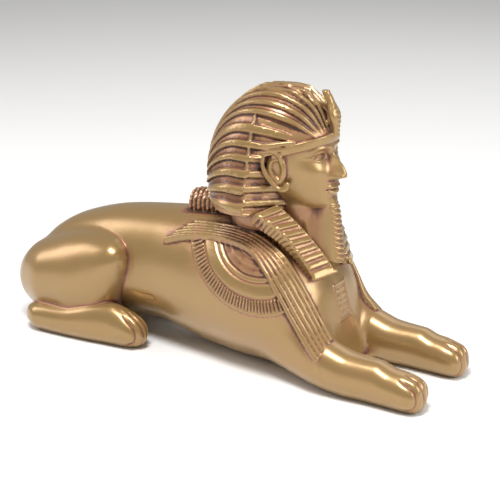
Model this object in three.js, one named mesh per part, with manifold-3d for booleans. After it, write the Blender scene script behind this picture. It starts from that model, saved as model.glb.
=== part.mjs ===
// A recumbent sphinx cast in one piece: lion body, forelegs stretched out, a royal head in a
// pleated headcloth. Millimetres. +X is forward, +Y is the figure's left, +Z is up.
import * as THREE from 'three';
import { mergeVertices } from 'three/addons/utils/BufferGeometryUtils.js';
import Module from 'manifold-3d';

const wasm = await Module();
wasm.setup();

// ---------------------------------------------------------------- driving dimensions

const gold = { color: 0xb89a4e, roughness: 0.36, metalness: 0.85 };
const sides = [-1, 1];

// Lion body. A station is: x, centre y, half width, top, widest height, bottom.
const torso = [
  [-142, 0, 4, 38, 32, 26],
  [-138, 0, 16, 49, 32, 12],
  [-128, 0, 24, 59, 33, 2],
  [-110, 0, 27, 68, 34, -1],
  [-80, 0, 28, 76.5, 36, 2],
  [-45, 0, 29, 81.5, 38, 7],
  [-26, 0, 31.5, 83.5, 38, 3.5],
  [-10, 0, 34, 85, 38, -0.5],
  [20, 0, 38.5, 87, 37, -1],
  [44, 0, 40, 84, 35, -1],
  [60, 0, 36.5, 69, 29, -1],
  [67, 0, 33, 57, 22, -1],
  [72, 0, 29, 40, 15, -1],
  [76, 0, 25, 21, 8, -1],
  [79, 0, 18, 6, 3, -1],
];
const haunch = [
  [-144, 22, 3, 34, 28, 22],
  [-140, 20, 13, 42, 28, 11],
  [-132, 18, 20, 50, 29, 5],
  [-118, 17, 26, 58, 30, 0],
  [-100, 18, 26.5, 64, 31, 0],
  [-82, 21, 22.5, 66, 38, 4],
  [-70, 25, 16.5, 64, 46, 20],
  [-63, 28, 10, 60, 50, 36],
  [-59.5, 30, 2.5, 54, 51, 47],
];
const hindFoot = [
  [-129, 39, 1.5, 11, 9, 7],
  [-126, 39, 5.5, 15, 8, 2],
  [-118, 39.5, 8.5, 17, 8, -0.5],
  [-98, 39, 8.5, 18.5, 8.5, -1],
  [-80, 37.5, 9, 23, 9, -1],
  [-67, 35.5, 9.5, 25, 9, -1],
  [-56, 34.5, 10, 22, 9, -1],
  [-48, 34, 9, 17, 8, 0.5],
  [-44.5, 34, 6, 13, 8, 3],
  [-43, 34, 2, 10, 8, 5],
];
const foreleg = [
  [36, 22, 7, 34, 18, 6],
  [48, 25, 10, 36, 16, 1.5],
  [60, 27, 11.8, 35.5, 15, -1],
  [72, 27.5, 13, 33, 14, -1],
  [84, 28, 12.5, 29.5, 13, -1],
  [98, 28, 11.5, 26.5, 12, -1],
  [112, 28, 10.5, 24, 11, -1],
  [122, 28, 11, 21, 10, -1],
  [130, 28, 10.5, 18.5, 9, -0.5],
  [135, 28, 7.5, 14, 8, 2],
  [137.3, 28, 2, 9, 7, 5],
];
const toeGrooves = [-0.52, 0, 0.52];      // places across the paw, as shares of its half width
const foreToes = [115, 122, 129, 134, 137.3];
const hindToes = [-66, -58, -51, -46, -43.2];
const grooveRadius = 1.7;

// Headcloth shell. A station is: height, centre x, reach back, reach forward, half width.
const clothShell = [
  [84, 24, 34, 36, 38],
  [93, 23, 36, 37, 39.5],
  [101, 23, 36.5, 38, 38.5],
  [116, 23, 36.5, 38, 35.5],
  [126, 24, 36, 37.5, 33.5],
  [136, 25.5, 34, 36, 31],
  [146, 28, 30, 31.5, 27.5],
  [154, 30.5, 24.5, 26.5, 22.5],
  [160, 33, 17.5, 20.5, 16],
  [163, 35, 11, 13, 10],
  [164, 37, 1, 1, 1],
];
const browPole = 62;                       // x where the pleats meet in front
const queuePole = -20;                     // and behind, at the root of the queue
const poleMiddle = { x: 33, z: 126 };      // a point of the line between them
const poleSlope = 0.25;
const poleBend = 0.008;
const pleatsPerRadian = 4;
const pleatStep = 1.4;
const edge = { x: 33, y: 37.5, turn: 0.1, top: 132 };   // side edge of the cloth, beside the ear
const rim = 96;                            // level of the cloth's lower rim
const wingPleats = 4;

// Head
const face = [                             // height, half width, reach forward
  [103, 8, 54],
  [107, 12.5, 62],
  [110, 15, 64.3],
  [116, 18.6, 64.2],
  [122, 20.8, 63.4],
  [128, 22, 61.8],
  [133, 22.4, 62.6],
  [141, 22, 61.5],
  [146, 20, 57],
];
const faceBack = 40;
const brow = { z: 132.2, y: 8.6 };
const eye = { z: 128.4, y: 8.8, width: 5.6, height: 2.1 };
const nose = { tip: 120.6, base: 118.6, bridge: 131, rise: 7.2 };
const mouth = { z: 114.9, width: 7 };
const ear = { x: 40.5, y: 24.5, z: 121.3, tilt: 0.5, half: 11.5, breadth: 6, depth: 3 };
const beard = { top: 107, bottom: 66, ridges: 8 };

// Strands of beads on each side, outermost and innermost: share along, x, y, z
const strandCount = 6;
const outerStrand = [
  [0, -34, 26.5, 68], [0.1, -22, 25.8, 72.3], [0.22, -5, 26, 75.3], [0.34, 12, 28, 76.3],
  [0.42, 23, 29.5, 75.3], [0.5, 31, 31.5, 72], [0.6, 40, 35.5, 65], [0.7, 49, 37.5, 54.5],
  [0.85, 62, 37, 35.5], [1, 73.5, 37, 18],
];
const innerStrand = [
  [0, -23, 18, 80], [0.1, -12, 17.2, 82], [0.22, 1, 17, 83.5], [0.34, 14, 19, 83.8],
  [0.42, 25, 21, 82.8], [0.5, 34, 22.7, 81], [0.6, 46, 24.8, 76], [0.7, 54, 24.3, 68],
  [0.85, 67, 23.5, 50], [1, 77, 20.5, 28],
];
const strandRelief = 2;

// Lappets of the headcloth: share down, then outer edge x, y, z and inner edge x, y, z
const lappet = [
  [0, 37, 37, 98, 42, 22, 102],
  [0.35, 49, 32.5, 89, 54, 17.5, 88],
  [0.7, 60, 28.5, 74.5, 64, 13, 75],
  [1, 66, 25, 63, 71, 9.5, 63.5],
];
const lappetBars = 8;

// Shoulder fan: ring radii from the rim inwards; the inner rings sit a little back and lower
const fan = { x: 47, z: 87, rim: 48, ticks: 38.5, band: 28.5, line: 25.5, petal: 13.5 };
const fanInner = { x: 37, z: 84 };
const fanLift = 0.7;
const fanFrom = 3.4;
const fanTo = 4.95;
const tickCount = 12;

const cartouche = { x: 70.4, z: 44, tilt: 0.27, width: 10.5, height: 19, line: 1.1, rows: 5 };
const queue = { x: -30, z: 85, radius: 9, length: 24, wraps: 4 };
const tailRadius = 3.2;

// ---------------------------------------------------------------- helpers

// Turns a closed three.js geometry into a solid.
function solid(geometry) {
  const bare = geometry.clone();
  bare.deleteAttribute('normal');
  bare.deleteAttribute('uv');
  const merged = mergeVertices(bare, 1e-4);
  return new wasm.Manifold(new wasm.Mesh({
    numProp: 3,
    vertProperties: new Float32Array(merged.getAttribute('position').array),
    triVerts: new Uint32Array(merged.index.array),
  }));
}

// Smooth values between stations, with no overshoot. The first number of a station is its place.
function between(stations, place) {
  const last = stations.length - 1;
  if (place <= stations[0][0]) return stations[0].slice(1);
  if (place >= stations[last][0]) return stations[last].slice(1);
  let i = 0;
  while (place > stations[i + 1][0]) i += 1;
  const step = stations[i + 1][0] - stations[i][0];
  const t = (place - stations[i][0]) / step;
  const slope = (k, c) => (stations[k + 1][c] - stations[k][c]) / (stations[k + 1][0] - stations[k][0]);
  const tangent = (k, c) => {
    if (k === 0) return slope(0, c);
    if (k === last) return slope(last - 1, c);
    const before = slope(k - 1, c);
    const after = slope(k, c);
    return before * after <= 0 ? 0 : (2 * before * after) / (before + after);
  };
  return stations[i].slice(1).map((value, n) => {
    const c = n + 1;
    const cube = t * t * t;
    const square = t * t;
    return (2 * cube - 3 * square + 1) * value
      + (cube - 2 * square + t) * step * tangent(i, c)
      + (3 * square - 2 * cube) * stations[i + 1][c]
      + (cube - square) * step * tangent(i + 1, c);
  });
}

const vec = (x, y, z) => new THREE.Vector3(x, y, z);
const power = (value, n) => Math.sign(value) * Math.abs(value) ** n;
const joined = (bodies) => bodies.reduce((all, body) => all.add(body));
const hill = (distance) => Math.exp(-distance * distance);

// A closed skin: place(u, turn) gives the point a share u along and a share turn around.
function skin(place, around, along) {
  const shape = new THREE.CylinderGeometry(1, 1, 1, around, along);
  const points = shape.getAttribute('position');
  const centre = vec(0, 0, 0);
  for (let i = 0; i < points.count; i += 1) {
    const u = 0.5 - points.getY(i);
    if (Math.hypot(points.getX(i), points.getZ(i)) > 0.5) {
      const turn = Math.atan2(points.getX(i), points.getZ(i)) / (2 * Math.PI);
      const p = place(u, (Math.round(turn * around + around) % around) / around);
      points.setXYZ(i, p.x, p.y, p.z);
    } else {
      centre.set(0, 0, 0);
      for (let k = 0; k < around; k += 1) {
        centre.addScaledVector(place(u, k / around), 1 / around);
      }
      points.setXYZ(i, centre.x, centre.y, centre.z);
    }
  }
  const body = solid(shape);
  return body.volume() > 0 ? body : solid(flipped(shape));
}

function flipped(geometry) {
  const index = geometry.index;
  for (let i = 0; i < index.count; i += 3) {
    const keep = index.getX(i);
    index.setX(i, index.getX(i + 1));
    index.setX(i + 1, keep);
  }
  return geometry;
}

// A body lofted along x through the stations, on one side of the figure.
function loft(stations, side, around, along, roundness = 2.25) {
  const first = stations[0][0];
  const reach = stations[stations.length - 1][0] - first;
  return skin((u, turn) => {
    const x = first + reach * (0.5 - 0.5 * Math.cos(Math.PI * u));
    const angle = 2 * Math.PI * turn;
    const [y, width, top, middle, bottom] = between(stations, x);
    const up = power(Math.sin(angle), 2 / roundness);
    const out = power(Math.cos(angle), 2 / roundness);
    return vec(x, side * (y + width * out), middle + up * (up > 0 ? top - middle : middle - bottom));
  }, around, along);
}

function ball(x, y, z, rx, ry, rz, detail = 8, tilt = 0) {
  const shape = new THREE.SphereGeometry(1, detail, Math.max(5, Math.round(detail * 0.7)));
  shape.scale(rx, ry, rz);
  shape.rotateY(tilt);
  shape.translate(x, y, z);
  return solid(shape);
}

function slab(sx, sy, sz, x, y, z) {
  const shape = new THREE.BoxGeometry(sx, sy, sz);
  shape.translate(x, y, z);
  return solid(shape);
}

// A rod of round section along a curve through the points.
function rod(points, radius, steps, corners = 3) {
  const section = new THREE.Shape();
  section.absarc(0, 0, radius, 0, 2 * Math.PI);
  const curve = new THREE.CatmullRomCurve3(points);
  return solid(new THREE.ExtrudeGeometry(section, { extrudePath: curve, steps, curveSegments: corners }));
}

// ---------------------------------------------------------------- lion body

// Grooves that part the toes, from the top of the paw down its front.
function pawGrooves(stations, places, side) {
  const grooves = toeGrooves.map((share) => rod(places.map((x) => {
    const [y, width, top, middle] = between(stations, x);
    return vec(x, side * (y + share * width), middle + (top - middle) * (1 - share * share) ** 0.5);
  }), grooveRadius, 4, 2));
  return joined(grooves);
}

function lionBody() {
  const parts = [loft(torso, 1, 16, 14)];
  for (const side of sides) {
    parts.push(loft(haunch, side, 10, 9));
    parts.push(loft(hindFoot, side, 8, 10).subtract(pawGrooves(hindFoot, hindToes, side)));
    parts.push(loft(foreleg, side, 8, 11).subtract(pawGrooves(foreleg, foreToes, side)));
  }
  return joined(parts);
}

function tail() {
  const points = [
    vec(-139, 8, 40), vec(-141, 24, 34), vec(-132, 36, 32), vec(-116, 42.5, 36),
    vec(-98, 44, 41), vec(-84, 42, 47), vec(-76, 40, 53),
  ];
  const tuft = ball(-76, 39.5, 53, 7, 3.4, 4.6, 6, -0.5);
  return rod(points, tailRadius, 8).add(tuft);
}

// ---------------------------------------------------------------- headcloth

// Height of the bent line that joins the two poles of the pleats.
function poleLine(x) {
  const t = x - poleMiddle.x;
  return poleMiddle.z + poleSlope * t + poleBend * t * Math.abs(t);
}

// Share of the way from the middle of the shell to its surface.
function clothShare(x, y, z) {
  const [centre, back, front, width] = between(clothShell, z);
  return Math.hypot((x - centre) / (x < centre ? back : front), y / width);
}

// Distance from the pole line out to the shell, in the direction that slopes by angle.
function clothReach(x, angle) {
  let near = 0;
  let far = 80;
  for (let i = 0; i < 30; i += 1) {
    const r = (near + far) / 2;
    const z = poleLine(x) + r * Math.sin(angle);
    const outside = z > clothShell[clothShell.length - 1][0] || clothShare(x, r * Math.cos(angle), z) > 1;
    if (outside) far = r;
    else near = r;
  }
  return near;
}

// Slopes of the pleat edges on one side, from the rim up to the crown: [angle, raised]. Each
// pleat overhangs the one below it.
function pleatRows() {
  const rows = [];
  for (let k = -3; k <= 6; k += 1) {
    const turn = (k + 0.3) / pleatsPerRadian;
    const angle = turn > 0 ? turn : Math.atan(turn);
    rows.push([angle - 0.015, false], [angle + 0.015, true]);
  }
  return rows.filter(([angle]) => angle < Math.PI / 2 - 0.02);
}

function clothBody() {
  const right = pleatRows();
  const left = right.map(([angle, raised]) => [Math.PI - angle, raised]).reverse();
  const under = [-2.4, -1.57, -0.74].map((angle) => [angle, false]);
  const ring = [...right, ...left, ...under];
  const first = queuePole + 3;
  const reach = browPole + 1 - first;
  return skin((u, turn) => {
    const x = first + reach * (0.5 - 0.5 * Math.cos(Math.PI * u));
    const [angle, raised] = ring[Math.round(turn * ring.length)];
    const fade = Math.min(1, Math.sin(Math.PI * u) * 3);
    const r = Math.max(0.6, clothReach(x, angle) + (raised ? 0.5 : -0.5) * pleatStep * fade);
    return vec(x, r * Math.cos(angle), poleLine(x) + r * Math.sin(angle));
  }, ring.length, 10);
}

// What is cleared away in front of the side edges and under the brow band.
function faceOpening() {
  const parts = sides.map((side) => {
    const shape = new THREE.BoxGeometry(60, 60, edge.top - 60);
    shape.translate(30, -side * 18, (edge.top + 60) / 2);
    shape.rotateZ(side * edge.turn);
    shape.translate(edge.x, side * edge.y, 0);
    return solid(shape);
  });
  return joined(parts);
}

// Pleats on the face of the cloth that turns in from the side edge to the ear.
function wingFolds(side) {
  const pitch = (edge.top - rim) / wingPleats;
  const parts = [];
  for (let k = 0; k < wingPleats; k += 1) {
    const z = rim + (k + 0.6) * pitch;
    const outside = between(clothShell, z)[3] - 2;
    const length = outside - ear.y + 3;
    const shape = new THREE.BoxGeometry(2, length / Math.cos(edge.turn), pitch * 0.5);
    shape.translate(0, -side * ((edge.y - outside + length / 2) / Math.cos(edge.turn)), z);
    shape.rotateZ(side * edge.turn);
    shape.translate(edge.x, side * edge.y, 0);
    parts.push(solid(shape));
  }
  return joined(parts);
}

function browSlope(y) {
  return 140 - 0.0147 * y * y;
}

function headcloth() {
  const below = slab(120, 120, 40, 20, 0, rim - 20);
  const nape = ball(20, 0, 92, 27, 29, 16, 8);
  return clothBody().subtract(faceOpening()).subtract(below).add(nape);
}

function browBand() {
  return skin((u, turn) => {
    const around = (u - 0.5) * 2 * 1.5;
    const y = 24.5 * Math.sin(around);
    const x = 37.5 + 25 * Math.cos(around);
    const angle = 2 * Math.PI * turn;
    const rise = 2.5 * Math.sin(angle);
    const out = 1 + (1.4 * Math.cos(angle)) / 25;
    return vec(37.5 + (x - 37.5) * out, y * out, browSlope(y) - 1 + rise);
  }, 5, 12);
}

function lappets(side) {
  const rows = [];
  for (let k = 0; k < lappetBars; k += 1) {
    rows.push([k / lappetBars, 0], [(k + 0.9) / lappetBars, 1]);
  }
  rows.push([1, 1]);
  return skin((u, turn) => {
    const [share, raised] = rows[Math.round(u * (rows.length - 1))];
    const [ox, oy, oz, ix, iy, iz] = between(lappet, share);
    const outer = vec(ox, side * oy, oz);
    const inner = vec(ix, side * iy, iz);
    const [bx, by, bz] = between(lappet, Math.min(1, share + 0.05));
    const [ax, ay, az] = between(lappet, Math.max(0, share - 0.05));
    const down = vec(bx - ax, side * (by - ay), bz - az);
    const across = inner.clone().sub(outer);
    const normal = down.clone().cross(across).normalize().multiplyScalar(-side);
    const lift = raised ? 1.1 : -0.1;
    const corner = Math.round(turn * 4) % 4;
    if (corner === 0) return outer.addScaledVector(normal, -9);
    if (corner === 1) return outer.addScaledVector(normal, lift);
    if (corner === 2) return inner.addScaledVector(normal, lift);
    return inner.addScaledVector(normal, -9);
  }, 4, rows.length - 1);
}

// ---------------------------------------------------------------- head

// How far a point of the face stands out from the plain oval.
function features(y, z) {
  const out = Math.abs(y);
  const noseWidth = 2.1 + 2.6 * THREE.MathUtils.smoothstep(nose.bridge - z, 3, 11);
  const noseRise = nose.rise * THREE.MathUtils.smoothstep(nose.bridge - z, -2, nose.bridge - nose.tip)
    * THREE.MathUtils.smoothstep(z, nose.base - 1.2, nose.base + 1.6);
  let rise = noseRise * hill(out / noseWidth);
  rise += 1.1 * hill((out - brow.y) / 7) * hill((z - brow.z + 0.02 * (out - 6) ** 2) / 1.6);
  rise -= 2.4 * hill((out - eye.y + 1.5) / 5.2) * hill((z - eye.z) / 3.2);
  rise += 1.7 * hill((out - eye.y) / (eye.width * 0.62)) * hill((z - eye.z) / eye.height);
  rise += 1.5 * hill(out / mouth.width) * hill((z - mouth.z - 1.3) / 1.1);
  rise += 1.6 * hill(out / (mouth.width * 0.8)) * hill((z - mouth.z + 1.5) / 1.2);
  rise -= 1.1 * hill(out / mouth.width) * hill((z - mouth.z) / 0.5);
  rise += 1.5 * hill(out / 5.5) * hill((z - 108.6) / 2.4);
  rise += 0.9 * hill((out - 12) / 5) * hill((z - 121) / 4.5);
  return rise;
}

function headBody() {
  const low = face[0][0];
  const high = face[face.length - 1][0];
  const frontal = 18;
  return skin((u, turn) => {
    const z = high - u * (high - low);
    const [width, reach] = between(face, z);
    const step = Math.round(turn * (frontal + 4));
    if (step > frontal) {
      return vec(faceBack - 12, width * (0.7 - (0.45 * (step - frontal - 1))), z);
    }
    const angle = (step / frontal - 0.5) * Math.PI;
    const y = width * Math.sin(angle);
    const x = faceBack + (reach - faceBack) * Math.abs(Math.cos(angle)) ** 0.92;
    return vec(x + features(y, z) * Math.cos(angle), y, z);
  }, frontal + 4, 16);
}

function ears(side) {
  const shell = new THREE.TorusGeometry(1, 0.3, 4, 8);
  shell.scale(ear.breadth * 0.72, ear.half * 0.8, ear.depth);
  shell.rotateX(Math.PI / 2);
  shell.rotateY(ear.tilt);
  shell.translate(ear.x, side * ear.y, ear.z);
  const cup = new THREE.SphereGeometry(1, 6, 4);
  cup.scale(ear.breadth * 0.8, 1.6, ear.half * 0.85);
  cup.rotateY(ear.tilt);
  cup.translate(ear.x, side * (ear.y - 1.4), ear.z);
  return solid(shell).add(solid(cup));
}

function neckAndBeard() {
  const neck = ball(42, 0, 96, 16, 15, 26, 10);
  const rows = [];
  for (let k = 0; k < beard.ridges; k += 1) {
    const top = k / beard.ridges;
    rows.push([top, 0], [top + 0.5 / beard.ridges, 1]);
  }
  const hair = skin((u, turn) => {
    const [share, raised] = rows[Math.round(u * (rows.length - 1))];
    const z = beard.top - share * (beard.top - beard.bottom);
    const front = 66.5 + 5 * share ** 0.7;
    const ridge = raised ? 0.7 : -0.5;
    const half = 4.2 + 2 * share;
    const corner = Math.round(turn * 6) % 6;
    if (corner === 0) return vec(front + ridge, half * 0.75, z);
    if (corner === 1) return vec(front - 2.6, half, z);
    if (corner === 2) return vec(48 + 12 * share, 11, z + 1);
    if (corner === 3) return vec(48 + 12 * share, -11, z + 1);
    if (corner === 4) return vec(front - 2.6, -half, z);
    return vec(front + ridge, -half * 0.75, z);
  }, 6, rows.length - 1);
  return neck.add(hair);
}

// Rearing cobra on the brow, its body running back over the crown.
function cobra() {
  const hood = skin((u, turn) => {
    const angle = 2 * Math.PI * turn;
    const z = 139 + 24 * u;
    const spread = 1.9 + 2.8 * Math.sin(Math.PI * Math.min(1, u * 1.15)) ** 1.5;
    const x = 61 + 3 * Math.sin(Math.PI * u) - 6 * u ** 3 + (u > 0.85 ? 9 * (u - 0.85) : 0);
    return vec(x + 1.9 * Math.cos(angle), spread * Math.sin(angle), z);
  }, 8, 7);
  const coil = rod([
    vec(61, 0, 146), vec(57, 2.5, 154), vec(52, 0.5, 159.4), vec(46, -2.6, 162), vec(40, 0, 163.6), vec(32, 0, 163),
  ], 1.9, 7, 2);
  return hood.add(coil);
}

function queueOfHair() {
  const profile = [new THREE.Vector2(0, 0)];
  for (let k = 0; k < queue.wraps; k += 1) {
    const start = (k * queue.length) / queue.wraps;
    const end = ((k + 1) * queue.length) / queue.wraps;
    profile.push(new THREE.Vector2(queue.radius - 1, start), new THREE.Vector2(queue.radius + 0.6, (start + end) / 2));
  }
  profile.push(new THREE.Vector2(queue.radius - 1, queue.length), new THREE.Vector2(0, queue.length));
  const shape = new THREE.LatheGeometry(profile, 10);
  shape.rotateZ(-Math.PI / 2 + 0.12);
  shape.translate(queue.x, 0, queue.z);
  return solid(shape);
}

// ---------------------------------------------------------------- ornaments

function strandPoint(share, across, side) {
  const outer = between(outerStrand, share);
  const inner = between(innerStrand, share);
  const p = outer.map((value, i) => value + across * (inner[i] - value));
  return vec(p[0], side * p[1], p[2]);
}

// Six strands side by side from the back, over the shoulder and down to the foreleg.
function strands(side) {
  const across = strandCount * 2 + 1;
  return skin((u, turn) => {
    const column = Math.round(turn * (across + 3));
    const onTop = column < across;
    const share = Math.min(1, Math.max(0, u));
    const place = onTop ? (column - 0.5) / (across - 2) : 1 - (column - across) / 2;
    const point = strandPoint(share, place, side);
    const ahead = strandPoint(Math.min(1, share + 0.03), place, side);
    const behind = strandPoint(Math.max(0, share - 0.03), place, side);
    const sideways = strandPoint(share, place + 0.1, side).sub(strandPoint(share, place - 0.1, side));
    const normal = ahead.sub(behind).cross(sideways).normalize().multiplyScalar(-side);
    if (!onTop) return point.addScaledVector(normal, -6);
    return point.addScaledVector(normal, column % 2 === 1 ? strandRelief : 0.2);
  }, across + 3, 9);
}

// Outward y of the lion's side under a point of its elevation.
function flankY(x, z) {
  const [, width, top, middle, bottom] = between(torso, x);
  const up = (z - middle) / (z > middle ? top - middle : middle - bottom);
  return width * Math.max(0.02, 1 - Math.abs(up) ** 2.25) ** (1 / 2.25);
}

function fanPoint(radius, angle, lift, side) {
  const t = (fan.rim - radius) / (fan.rim - fan.petal);
  const x = fan.x + t * (fanInner.x - fan.x) + radius * Math.cos(angle);
  const z = fan.z + t * (fanInner.z - fan.z) + radius * Math.sin(angle);
  return vec(x, side * (flankY(x, z) + lift), z);
}

// The rings of the fan from the rim inwards, as radius and lift.
function fanProfile() {
  const profile = [[fan.rim + 0.2, -2.5], [fan.rim, fanLift]];
  const rings = [
    [fan.rim, fan.rim - 1.5], [fan.ticks, fan.band], [fan.line, fan.line - 1.6], [fan.petal, fan.petal - 1.6],
  ];
  for (const [outer, inner] of rings) {
    if (outer < fan.rim) profile.push([outer, fanLift]);
    profile.push([outer - 0.1, fanLift + 0.8], [inner + 0.1, fanLift + 0.8], [inner, fanLift]);
  }
  profile.push([fan.petal - 4, -2.5]);
  return profile;
}

// A short ridge across the outer band of the fan.
function fanTick(middle, half, side) {
  return skin((u, turn) => {
    const radius = fan.ticks + 1 + u * (fan.rim - fan.ticks - 3.4);
    const corner = Math.round(turn * 3) % 3;
    if (corner === 0) return fanPoint(radius, middle - half, 0, side);
    if (corner === 1) return fanPoint(radius, middle, fanLift + 0.8, side);
    return fanPoint(radius, middle + half, 0, side);
  }, 3, 1);
}

function shoulderFan(side) {
  const profile = fanProfile();
  const disc = skin((u, turn) => {
    const [radius, lift] = profile[Math.round(turn * profile.length) % profile.length];
    return fanPoint(radius, fanFrom + u * (fanTo - fanFrom), lift, side);
  }, profile.length, 7);
  const parts = [disc];
  for (let k = 0; k < tickCount; k += 1) {
    const middle = fanFrom + ((fanTo - fanFrom) * (k + 0.5)) / tickCount;
    parts.push(fanTick(middle, (0.35 * (fanTo - fanFrom)) / tickCount, side));
  }
  return joined(parts);
}

function chestCartouche() {
  const bars = [];
  const { width, height, line } = cartouche;
  const bar = (wide, tall, across, up) => {
    const shape = new THREE.BoxGeometry(3, wide, tall);
    shape.translate(0, across, up);
    shape.rotateY(-cartouche.tilt);
    shape.translate(cartouche.x, 0, cartouche.z);
    bars.push(solid(shape));
  };
  bar(width, line, 0, height / 2);
  bar(width, line, 0, -height / 2);
  bar(line, height + line, width / 2, 0);
  bar(line, height + line, -width / 2, 0);
  for (let k = 0; k < cartouche.rows; k += 1) {
    const up = height * ((k + 0.5) / cartouche.rows - 0.5);
    bar(width * 0.26, line, -width * 0.22, up);
    bar(width * 0.26, line, width * 0.22, up);
  }
  return joined(bars);
}

// ---------------------------------------------------------------- the figure

function figure() {
  const parts = [
    lionBody(), tail(), headcloth(), browBand(), headBody(), neckAndBeard(), cobra(), queueOfHair(), chestCartouche(),
  ];
  for (const side of sides) {
    parts.push(lappets(side), wingFolds(side), ears(side), strands(side), shoulderFan(side));
  }
  return joined(parts).subtract(slab(400, 200, 40, 0, 0, -20));
}

const surface = figure().getMesh();
const geometry = new THREE.BufferGeometry();
geometry.setAttribute('position', new THREE.BufferAttribute(surface.vertProperties, 3));
geometry.setIndex(new THREE.BufferAttribute(surface.triVerts, 1));
geometry.computeBoundingBox();
geometry.translate(-(geometry.boundingBox.min.x + geometry.boundingBox.max.x) / 2, 0, 0);
geometry.computeVertexNormals();

const sphinx = new THREE.Mesh(geometry, new THREE.MeshStandardMaterial(gold));
sphinx.name = 'sphinx';
const group = new THREE.Group();
group.add(sphinx);
export default group;
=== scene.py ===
"""Recumbent sphinx cast in one piece: the finely carved surface, its antiqued gold with painted shade, and
the studio.
"""

import math

import bpy
import numpy as np
from mathutils import Matrix, Vector


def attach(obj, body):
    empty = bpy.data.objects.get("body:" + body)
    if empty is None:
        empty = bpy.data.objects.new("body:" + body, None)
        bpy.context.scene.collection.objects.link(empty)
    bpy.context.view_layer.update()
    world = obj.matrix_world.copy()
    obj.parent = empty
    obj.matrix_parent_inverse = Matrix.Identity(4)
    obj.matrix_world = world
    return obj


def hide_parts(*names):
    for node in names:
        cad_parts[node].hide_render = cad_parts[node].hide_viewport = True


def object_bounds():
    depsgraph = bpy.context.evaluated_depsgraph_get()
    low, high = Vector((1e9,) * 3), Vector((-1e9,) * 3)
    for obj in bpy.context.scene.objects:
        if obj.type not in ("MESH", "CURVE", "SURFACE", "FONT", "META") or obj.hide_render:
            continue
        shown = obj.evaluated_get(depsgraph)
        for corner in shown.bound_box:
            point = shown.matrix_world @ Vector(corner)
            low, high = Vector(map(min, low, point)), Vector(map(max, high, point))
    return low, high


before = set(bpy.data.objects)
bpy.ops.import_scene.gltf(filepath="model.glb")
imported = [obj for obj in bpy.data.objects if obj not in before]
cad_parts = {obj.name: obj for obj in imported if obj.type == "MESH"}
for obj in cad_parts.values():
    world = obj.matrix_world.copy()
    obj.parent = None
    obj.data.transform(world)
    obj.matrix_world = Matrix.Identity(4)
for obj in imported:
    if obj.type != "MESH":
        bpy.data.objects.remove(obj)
cad_low, cad_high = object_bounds()

# ---------------------------------------------------------------- dimensions, in millimetres

PAW_TIP = 137.3
SHIFT = cad_high.x * 1000 - PAW_TIP      # from the carving's own x to the row frame's

CELL = 0.52      # spacing of the carving grid over the carved part
PLAIN = 2.0                              # how many times wider it is along x over the plain rear
CARVED = (-37, 82)                       # where along x the fine spacing holds
LOW = (-147, 0, -2)
HIGH = (140.5, 50, 168.5)
FAR = 9.0
BUDGET = 190000                          # triangles kept

ROUNDNESS = 2.25                         # of the sections above their widest height
UNDERCUT = 1.8                           # and below it

# A station is: x, centre y, half width, top, widest height, bottom.
TORSO = [
    [-142, 0, 4, 37, 31, 25], [-138, 0, 16, 47, 31, 12], [-128, 0, 24, 57.5, 33, 2],
    [-110, 0, 27, 67.5, 34, -1], [-80, 0, 28, 76.5, 36, 4], [-48, 0, 29, 81.2, 38, 9],
    [-26, 0, 31.5, 83.5, 38, 4.5], [-8, 0, 34, 85, 38, 1], [20, 0, 38.5, 87, 37, -1],
    [44, 0, 40, 84, 35, -1], [60, 0, 36.5, 69, 29, -1], [67, 0, 33, 57, 22, -1],
    [72, 0, 29, 40, 15, -1], [76, 0, 25, 21, 8, -1], [79, 0, 18, 6, 3, -1],
]
HAUNCH = [
    [-144, 22, 3, 34, 28, 22], [-140, 20, 13, 42, 28, 11], [-132, 18, 20, 50, 29, 5],
    [-118, 17, 26, 56, 30, 0], [-100, 18, 26.5, 62, 31, 0], [-82, 21, 22.5, 64.5, 38, 4],
    [-70, 25, 16.5, 63.5, 46, 20], [-63, 28, 10, 60, 50, 36], [-59.5, 30, 2.5, 54, 51, 47],
]
HIND_FOOT = [
    [-129, 39, 1.5, 11, 9, 7], [-126, 39, 5.5, 15, 8, 2], [-118, 39.5, 8.5, 17, 8, -0.5],
    [-98, 39, 8.5, 18.5, 8.5, -1], [-80, 37.5, 9, 23, 9, -1], [-67, 35.5, 9.5, 25, 9, -1],
    [-56, 34.5, 9.7, 22, 9.5, -1], [-49, 34, 8.8, 18.5, 9, 0.5], [-45, 34, 6.2, 14.5, 8.5, 2.5],
    [-43, 34, 2.4, 10.5, 8, 5],
]
FORELEG = [
    [36, 22, 7, 34, 20, 11], [48, 25, 10, 36, 18, 7.5], [60, 26.5, 11.8, 35.5, 17, 4],
    [72, 27.5, 13, 32.5, 15, 1.5], [82, 28, 12.6, 28.6, 13.5, 0], [92, 28, 12, 25.6, 12, -1],
    [100, 28, 11.3, 25, 12, -1], [109, 28, 10.8, 24.6, 11, -1], [117, 28, 10.8, 21.8, 10, -1],
    [126, 28, 11.2, 20.6, 9.5, -1], [132, 28, 10.4, 19, 9, -0.5], [135.7, 28, 7.8, 15.6, 8.5, 2],
    [137.3, 28, 3, 10.5, 7.5, 4.5],
]
TOE_GROOVES = ((-0.45, 1.0), (0.1, 0.8), (0.62, 1.1))    # share across a paw, and depth
TOE_LENGTH = 15.0

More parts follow.
